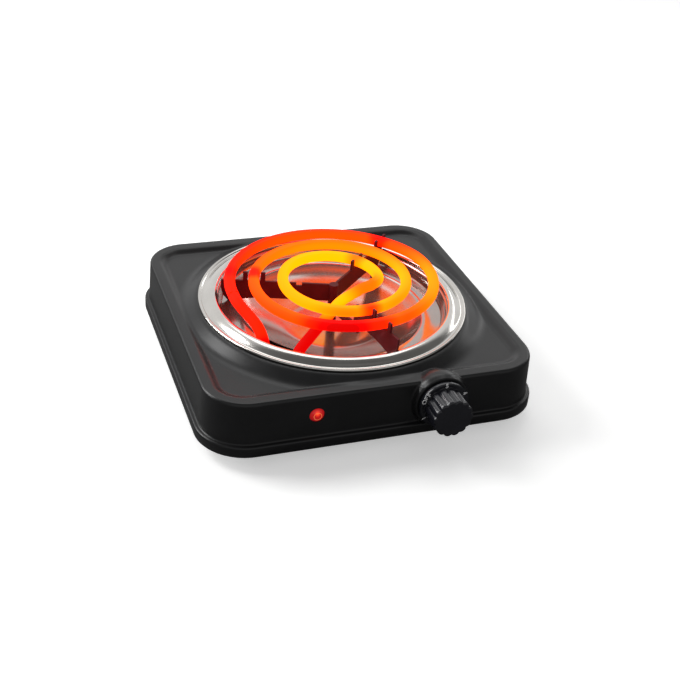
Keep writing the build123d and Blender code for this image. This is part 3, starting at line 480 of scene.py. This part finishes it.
def outlineColumns():
    # Places round the body, closer together at the boss: (side, share along it or corner angle).
    shape = bodyShape
    halfX = shape["width"] / 2 - shape["cornerRadius"]
    fine = bossShape["filletRadius"] + 1
    stops = [-halfX + (bossShape["x"] - fine + halfX) * i / 26 for i in range(26)]
    stops += [bossShape["x"] - fine + 2 * fine * i / 84 for i in range(84)]
    stops += [bossShape["x"] + fine + (halfX - bossShape["x"] - fine) * i / 8 for i in range(8)]
    columns = [("front", x / halfX) for x in stops]
    for corner, side in ((0, "right"), (1, "back"), (2, "left"), (3, None)):
        columns += [(corner, radians(90 * corner - 90 + 90 * i / 22)) for i in range(22)]
        if side:
            columns += [(side, -1 + 2 * i / 30) for i in range(30)]
    return columns


def outlinePlace(column, inset, endInset, radius):
    # A place on the rounded rectangle that lies this far inside the skirt.
    shape = bodyShape
    halfX = shape["width"] / 2 - inset
    halfY = shape["depth"] / 2 - endInset
    where, share = column
    if where == "front":
        return share * (halfX - radius), -halfY
    if where == "back":
        return -share * (halfX - radius), halfY
    if where == "right":
        return halfX, share * (halfY - radius)
    if where == "left":
        return -halfX, -share * (halfY - radius)
    signX, signY = ((1, -1), (1, 1), (-1, 1), (-1, -1))[where]
    return (signX * (halfX - radius) + radius * cos(share), signY * (halfY - radius) + radius * sin(share))


def bodyColumn(column):
    # The section of the sheet at one place round the body, from the skirt's edge up and in to the hole.
    shape = bodyShape
    z0 = skirtLow / mm
    ledgeZ = z0 + shape["skirtHeight"]
    corner = shape["cornerRadius"]
    line = []

    def ring(inset, z):
        x, y = outlinePlace(column, inset, inset, corner - inset)
        line.append([x, y, z])

    ring(0.35, z0)
    ring(0, z0 + 0.4)
    for i in range(6):
        turn = radians(90 * i / 5)
        ring(shape["skirtRound"] * (1 - cos(turn)), ledgeZ - shape["skirtRound"] * (1 - sin(turn)))
    fillet = shape["ledgeFillet"]
    for i in range(6):
        turn = radians(90 * i / 5)
        ring(shape["ledge"] - fillet * (1 - sin(turn)), ledgeZ + fillet * (1 - cos(turn)))
    wallLow = ledgeZ + fillet
    wallHigh = rimZ - shape["rimRound"]
    x = line[-1][0]
    front = column[0] == "front"
    aside = abs(x - bossShape["x"])
    lift = 0
    if front and aside < bossShape["faceRadius"]:
        lift = max(0, bossZ + sqrt(bossShape["faceRadius"] ** 2 - aside ** 2) - wallHigh)
    for i in range(1, 57):
        z = wallLow + (wallHigh + lift - wallLow) * i / 56
        inset = shape["ledge"] + shape["lean"] * min(1, (z - ledgeZ) / (rimZ - ledgeZ))
        ring(inset, z)
        if front:
            line[-1][1] = frontY(line[-1][0], z)
    edge = shape["ledge"] + shape["lean"]
    rimStart = edge + shape["rimRound"]
    startY, startZ = line[-1][1], line[-1][2]
    for i in range(1, 8):
        turn = radians(90 * i / 7)
        ring(edge + shape["rimRound"] * (1 - cos(turn)), wallHigh + shape["rimRound"] * sin(turn))
        if front:
            place = line[-1]
            endY = rimStart - shape["depth"] / 2
            place[1] = startY + (endY - startY) * (1 - cos(turn))
            back = min(shape["rimRound"], max(0, place[1] + shape["depth"] / 2 - edge))
            curve = sqrt(max(0, shape["rimRound"] ** 2 - (shape["rimRound"] - back) ** 2))
            plain = wallHigh + curve if place[1] + shape["depth"] / 2 >= edge else 0
            place[2] = max(plain, humpZ(place[0], place[1]), startZ if lift == 0 else 0)
    for i in range(1, 9):
        side = rimStart + (edge + shape["rimSide"] - rimStart) * i / 8
        end = rimStart + (edge + shape["rimEnd"] - rimStart) * i / 8
        radius = corner - rimStart + (shape["recessRadius"] - corner + rimStart) * i / 8
        x, y = outlinePlace(column, side, end, radius)
        line.append([x, y, topZ(x, y)])
    startX, startY = line[-1][0], line[-1][1]
    angle = atan2(startY, startX)
    for i in range(1, 41):
        share = i / 40
        x = startX + (shape["seatRadius"] * cos(angle) - startX) * share
        y = startY + (shape["seatRadius"] * sin(angle) - startY) * share
        line.append([x, y, topZ(x, y)])
    for radius, drop in ((88.0, 0.0), (85.0, 0.0), (84.3, 0.2), (84.0, 0.9)):
        line.append([radius * cos(angle), radius * sin(angle), seatZ - drop])
    return line


def startPiece():
    bpy.ops.object.select_all(action="DESELECT")


def finishPiece(piece, name, finish, body, replaced, smooth=35):
    # Applies the modifiers, shades, paints and hangs the piece on its body.
    bpy.ops.object.select_all(action="DESELECT")
    piece.select_set(True)
    bpy.context.view_layer.objects.active = piece
    for modifier in list(piece.modifiers):
        bpy.ops.object.modifier_apply(modifier=modifier.name)
    bpy.ops.object.transform_apply(location=True, rotation=True, scale=True)
    bpy.ops.object.shade_smooth_by_angle(angle=radians(smooth))
    piece.name = name
    piece.data.name = name
    piece.data.materials.clear()
    piece.data.materials.append(finishes[finish])
    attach(piece, body)
    if replaced:
        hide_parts(*replaced)
    piece.select_set(False)
    print(name, "done,", len(piece.data.polygons), "faces")
    return piece


def cutHole(piece, x, z, y, radius):
    # A round hole along Y through one wall of the piece.
    startPiece()
    bpy.ops.mesh.primitive_cylinder_add(vertices=64, radius=radius * mm, depth=12 * mm,
                                        location=(x * mm, y * mm, z * mm), rotation=(pi / 2, 0, 0))
    cutter = bpy.context.object
    hole = piece.modifiers.new("hole", "BOOLEAN")
    hole.object = cutter
    hole.solver = "EXACT"
    bpy.ops.object.select_all(action="DESELECT")
    bpy.context.view_layer.objects.active = piece
    piece.select_set(True)
    bpy.ops.object.modifier_apply(modifier=hole.name)
    bpy.data.objects.remove(cutter)


def buildBody():
    columns = outlineColumns()
    lines = [bodyColumn(column) for column in columns]
    rows = len(lines[0])
    startPiece()
    bpy.ops.mesh.primitive_grid_add(x_subdivisions=len(columns), y_subdivisions=rows - 1, size=1)
    piece = bpy.context.object
    for vertex in piece.data.vertices:
        column = round((vertex.co.x + 0.5) * len(columns)) % len(columns)
        row = round((vertex.co.y + 0.5) * (rows - 1))
        x, y, z = lines[column][row]
        vertex.co = (x * mm + middle.x, y * mm + middle.y, z * mm)
    bpy.ops.object.mode_set(mode="EDIT")
    bpy.ops.mesh.select_all(action="SELECT")
    bpy.ops.mesh.remove_doubles(threshold=0.00001)
    bpy.ops.mesh.normals_make_consistent(inside=False)
    bpy.ops.object.mode_set(mode="OBJECT")
    wall = piece.modifiers.new("sheet", "SOLIDIFY")
    wall.thickness = bodyShape["sheet"] * mm
    wall.offset = -1
    bpy.ops.object.modifier_apply(modifier=wall.name)
    bush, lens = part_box("spindle_bush"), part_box("indicator_lens")
    cutHole(piece, (bush[0].x + bush[1].x) / 2 / mm, (bush[0].z + bush[1].z) / 2 / mm,
            bossFace + middle.y / mm, 4.95)
    cutHole(piece, (lens[0].x + lens[1].x) / 2 / mm, (lens[0].z + lens[1].z) / 2 / mm,
            wallY(bossZ) + middle.y / mm, 4.95)
    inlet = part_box("inlet_bush")
    cutHole(piece, (inlet[0].x + inlet[1].x) / 2 / mm, (inlet[0].z + inlet[1].z) / 2 / mm,
            bodyShape["depth"] / 2 - bodyShape["ledge"] + middle.y / mm, 5.65)
    return finishPiece(piece, "pressedBody", "powderCoat", "base", ["body_shell"], 60)


# Turned pieces are drawn as a ring that is extruded along its section
def turnPiece(section, steps=144, level=1, closed=True, centre=None):
    # section is (radius, height) in millimetres about the Z axis, at the body's middle unless told.
    startPiece()
    radius, height = section[0]
    centre = (middle.x, middle.y, 0) if centre is None else centre
    bpy.ops.mesh.primitive_circle_add(vertices=steps, radius=radius * mm,
                                      location=(centre[0], centre[1], height * mm))
    piece = bpy.context.object
    bpy.ops.object.mode_set(mode="EDIT")
    bpy.ops.mesh.select_all(action="SELECT")
    for nextRadius, nextHeight in section[1:] + ([section[0]] if closed else []):
        rise = (nextHeight - height) * mm
        bpy.ops.mesh.extrude_edges_move(TRANSFORM_OT_translate={"value": (0, 0, rise)})
        share = nextRadius / radius
        bpy.ops.transform.resize(value=(share, share, 1), center_override=centre)
        radius, height = nextRadius, nextHeight
    bpy.ops.mesh.select_all(action="SELECT")
    if closed:
        bpy.ops.mesh.remove_doubles(threshold=0.000005)
    else:
        bpy.ops.mesh.fill_holes(sides=0)
        bpy.ops.mesh.select_all(action="SELECT")
    bpy.ops.mesh.normals_make_consistent(inside=False)
    bpy.ops.object.mode_set(mode="OBJECT")
    if level:
        soft = piece.modifiers.new("soft", "SUBSURF")
        soft.levels = level
        soft.render_levels = level
    return piece


def backOf(line, thickness):
    # The other side of a sheet whose face runs along this line.
    back = []
    for i, (radius, height) in enumerate(line):
        before, after = line[max(i - 1, 0)], line[min(i + 1, len(line) - 1)]
        along = (after[0] - before[0], after[1] - before[1])
        size = hypot(*along)
        back.append((radius - along[1] / size * thickness, height + along[0] / size * thickness))
    return back


# section heights are above the seat
ringShape = [(92.2, 0.1), (92.4, 0.7), (92.3, 1.5), (91.6, 2.0), (90.6, 1.8), (89.9, 1.1), (89.2, 0.9),
             (88.2, 1.3), (86.8, 2.3), (85.2, 3.3), (83.6, 4.0), (82.0, 4.3), (80.6, 4.1), (79.6, 3.3),
             (79.2, 2.2), (79.2, 1.2), (79.6, 1.0), (80.0, 1.3), (80.1, 2.1), (80.6, 3.0), (82.0, 3.5),
             (83.5, 3.2), (85.0, 2.5), (86.6, 1.5), (88.0, 0.5), (89.3, 0.05), (91.4, 0.02)]


def buildRing():
    piece = turnPiece([(radius, seatZ + rise) for radius, rise in ringShape], steps=180)
    return finishPiece(piece, "rolledRing", "chrome", "base", ["trim_ring"], 180)


# the bowl's inside face from the flange to the middle; the slot lets the coil's legs through
bowlShape = {"face": [(88.0, 0.8), (85.0, 0.8), (81.5, 0.8), (79.6, 0.6), (78.7, -0.1),
                      (78.0, -1.4), (77.4, -3.4), (76.7, -5.6), (75.8, -6.8), (74.0, -7.1),
                      (70.0, -7.1), (66.0, -7.1), (64.0, -7.3), (62.4, -8.2), (60.0, -10.1),
                      (56.0, -12.0), (48.0, -15.7), (40.0, -19.0), (34.0, -20.9), (30.0, -21.8),
                      (26.0, -22.1), (14.0, -22.1), (4.0, -22.1), (0.4, -22.1)],
             "sheet": 0.8, "slotFrom": 55.0, "slotTo": 84.0, "slotHalf": 17.0, "slotMiddle": 3.0,
             "slotTop": -2.6, "slotAngle": -133.0, "boltRadius": 2.2}


def cutWith(piece, cutter):
    hole = piece.modifiers.new("hole", "BOOLEAN")
    hole.object = cutter
    hole.solver = "EXACT"
    hole.operation = "DIFFERENCE"
    bpy.ops.object.select_all(action="DESELECT")
    bpy.context.view_layer.objects.active = piece
    piece.select_set(True)
    bpy.ops.object.modifier_apply(modifier=hole.name)
    bpy.data.objects.remove(cutter)


def buildBowl():
    shape = bowlShape
    line = [(radius, seatZ + rise) for radius, rise in shape["face"]]
    section = line + backOf(line, shape["sheet"])[::-1]
    section[len(line)] = (0.4, section[len(line)][1])
    piece = turnPiece(section, steps=192, level=0)
    bpy.ops.object.select_all(action="DESELECT")
    angle = radians(shape["slotAngle"])
    out = (shape["slotFrom"] + shape["slotTo"]) / 2
    x = out * cos(angle) + shape["slotMiddle"] * sin(angle)
    y = out * sin(angle) - shape["slotMiddle"] * cos(angle)
    low = seatZ + shape["face"][-1][1]
    high = seatZ + shape["slotTop"]
    size = (shape["slotTo"] - shape["slotFrom"], 2 * shape["slotHalf"], high - low)
    place = (x * mm + middle.x, y * mm + middle.y, (low + high) / 2 * mm)
    bpy.ops.mesh.primitive_cube_add(size=mm, location=place, rotation=(0, 0, angle), scale=size)
    cutWith(piece, bpy.context.object)
    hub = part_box("hub_post")
    bpy.ops.object.select_all(action="DESELECT")
    place = ((hub[0].x + hub[1].x) / 2, (hub[0].y + hub[1].y) / 2, low * mm)
    bpy.ops.mesh.primitive_cylinder_add(vertices=32, radius=shape["boltRadius"] * mm, depth=6 * mm,
                                        location=place)
    cutWith(piece, bpy.context.object)
    return finishPiece(piece, "drawnBowl", "bowlSteel", "base", ["drip_bowl"], 40)


# Front pieces are turned about an axis that points to the front; heights are towards the front
def faceFront(piece, x, y, z):
    piece.location = (x, y, z)
    piece.rotation_euler = (pi / 2, 0, 0)


lensShape = [(0.3, 3.2), (2.4, 2.7), (3.4, 1.4), (3.6, 0.0), (3.6, -12.9), (4.8, -12.9),
             (4.8, -0.1), (6.2, 0.0), (6.6, 0.2), (6.6, 0.8), (6.3, 1.2), (5.8, 1.3),
             (5.3, 1.1), (5.0, 1.3), (4.85, 2.0), (4.4, 3.0), (3.4, 3.8), (2.2, 4.3),
             (1.0, 4.48), (0.3, 4.5)]


def buildLens():
    low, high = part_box("indicator_lens")
    flange = low.y + 4.5 * mm
    piece = turnPiece(lensShape, steps=48, closed=False, centre=(0, 0, 0))
    faceFront(piece, (low.x + high.x) / 2, flange, (low.z + high.z) / 2)
    return finishPiece(piece, "lampLens", "redLens", "base", ["indicator_lens"], 60)


knobShape = {"discDepth": 3.2, "depth": 18.5, "flutes": 14, "fluteDepth": 1.15,
             "stepsPerFlute": 12, "recess": 8.0, "recessDepth": 2.2, "bore": 3.8, "boreDepth": 11.4,
             "numberRadius": 14.9, "numberHeight": 2.9, "numberRelief": 0.06, "letterTurn": 10.5}
dialMarks = [("OFF", 60), ("5", 0), ("4", -60), ("3", -120), ("2", -180), ("1", -240)]    # anticlockwise


def knobSection():
    # From the bore's floor out to the back, over the disc and the grip, to the middle of the front.
    shape = knobShape
    front = shape["depth"]
    return [(0.3, shape["boreDepth"]), (shape["bore"], shape["boreDepth"]),
            (shape["bore"], shape["recessDepth"]), (shape["recess"], shape["recessDepth"]),
            (shape["recess"], 0.1), (8.4, 0.0), (15.6, 0.0),
            (16.2, 0.1), (16.4, 0.5), (16.4, 2.4), (16.25, 2.9), (15.8, 3.2), (14.4, 3.2), (13.7, 3.25),
            (13.45, 3.5), (13.4, 4.2), (13.4, 10.0), (13.4, front - 1.6), (13.25, front - 0.8),
            (12.8, front - 0.25), (12.0, front - 0.02), (11.0, front - 0.1), (9.0, front - 0.3),
            (4.0, front - 0.55), (0.3, front - 0.6)]


def buildKnob():
    shape = knobShape
    low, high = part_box("knob")
    steps = shape["flutes"] * shape["stepsPerFlute"]
    piece = turnPiece(knobSection(), steps=steps, level=0, closed=False, centre=(0, 0, 0))
    for vertex in piece.data.vertices:
        out = hypot(vertex.co.x, vertex.co.y) / mm
        height = piece.location.z / mm + vertex.co.z / mm
        if out < 10.5 or height < shape["discDepth"] - 0.01 or out > 13.75:
            continue
        angle = atan2(vertex.co.y, vertex.co.x)
        groove = (1 - abs(cos(shape["flutes"] * angle / 2))) ** 1.3
        share = 1 - shape["fluteDepth"] * groove / out * (1 if out > 11.5 else 0.5)
        vertex.co.x *= share
        vertex.co.y *= share
    soft = piece.modifiers.new("soft", "SUBSURF")
    soft.levels = 1
    soft.render_levels = 1
    piece.location.y = 0
    place = ((low.x + high.x) / 2, high.y, (low.z + high.z) / 2)
    bpy.ops.object.select_all(action="DESELECT")
    piece.select_set(True)
    bpy.context.view_layer.objects.active = piece
    bpy.ops.object.transform_apply(location=True, rotation=False, scale=False)
    faceFront(piece, *place)
    knob = finishPiece(piece, "flutedKnob", "knobBlack", "knob", ["knob"], 30)
    return knob


def buildNumbers():
    # Raised dial marks on the knob's disc, read with their feet towards the axis.
    shape = knobShape
    low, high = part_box("knob")
    letters = []
    for mark, turn in dialMarks:
        for i, letter in enumerate(mark):
            angle = radians(turn - (i - (len(mark) - 1) / 2) * shape["letterTurn"])
            bpy.ops.object.select_all(action="DESELECT")
            bpy.ops.object.text_add(location=(0, 0, 0))
            text = bpy.context.object
            text.data.body = letter
            text.data.align_x = "CENTER"
            text.data.align_y = "CENTER"
            text.data.size = shape["numberHeight"] / 0.69 * mm
            text.data.offset = 0.12 * mm
            text.data.extrude = shape["numberRelief"] * mm
            bpy.ops.object.convert(target="MESH")
            piece = bpy.context.object
            bpy.ops.object.mode_set(mode="EDIT")
            bpy.ops.mesh.select_all(action="SELECT")
            bpy.ops.mesh.remove_doubles(threshold=0.000001)
            bpy.ops.mesh.normals_make_consistent(inside=False)
            bpy.ops.object.mode_set(mode="OBJECT")
            radius = shape["numberRadius"] * mm
            turned = Matrix.Rotation(angle, 4, "Z") @ Matrix.Translation((0, radius, 0))
            stand = Matrix.Translation(((low.x + high.x) / 2, high.y - shape["discDepth"] * mm,
                                        (low.z + high.z) / 2)) @ Matrix.Rotation(pi / 2, 4, "X")
            piece.matrix_world = stand @ turned
            letters.append(piece)
    bpy.ops.object.select_all(action="DESELECT")
    for piece in letters:
        piece.select_set(True)
    bpy.context.view_layer.objects.active = letters[0]
    bpy.ops.object.transform_apply(location=True, rotation=True, scale=True)
    bpy.ops.object.join()
    return finishPiece(bpy.context.object, "dialNumbers", "dialPrint", "knob", [], 30)


def buildPieces():
    buildBody()
    buildRing()
    buildBowl()
    buildLens()
    buildKnob()
    buildNumbers()


placeCamera()
lightStudio()
makeFloor()
paintNodes()
buildPieces()
bpy.context.scene.view_settings.view_transform = "Standard"
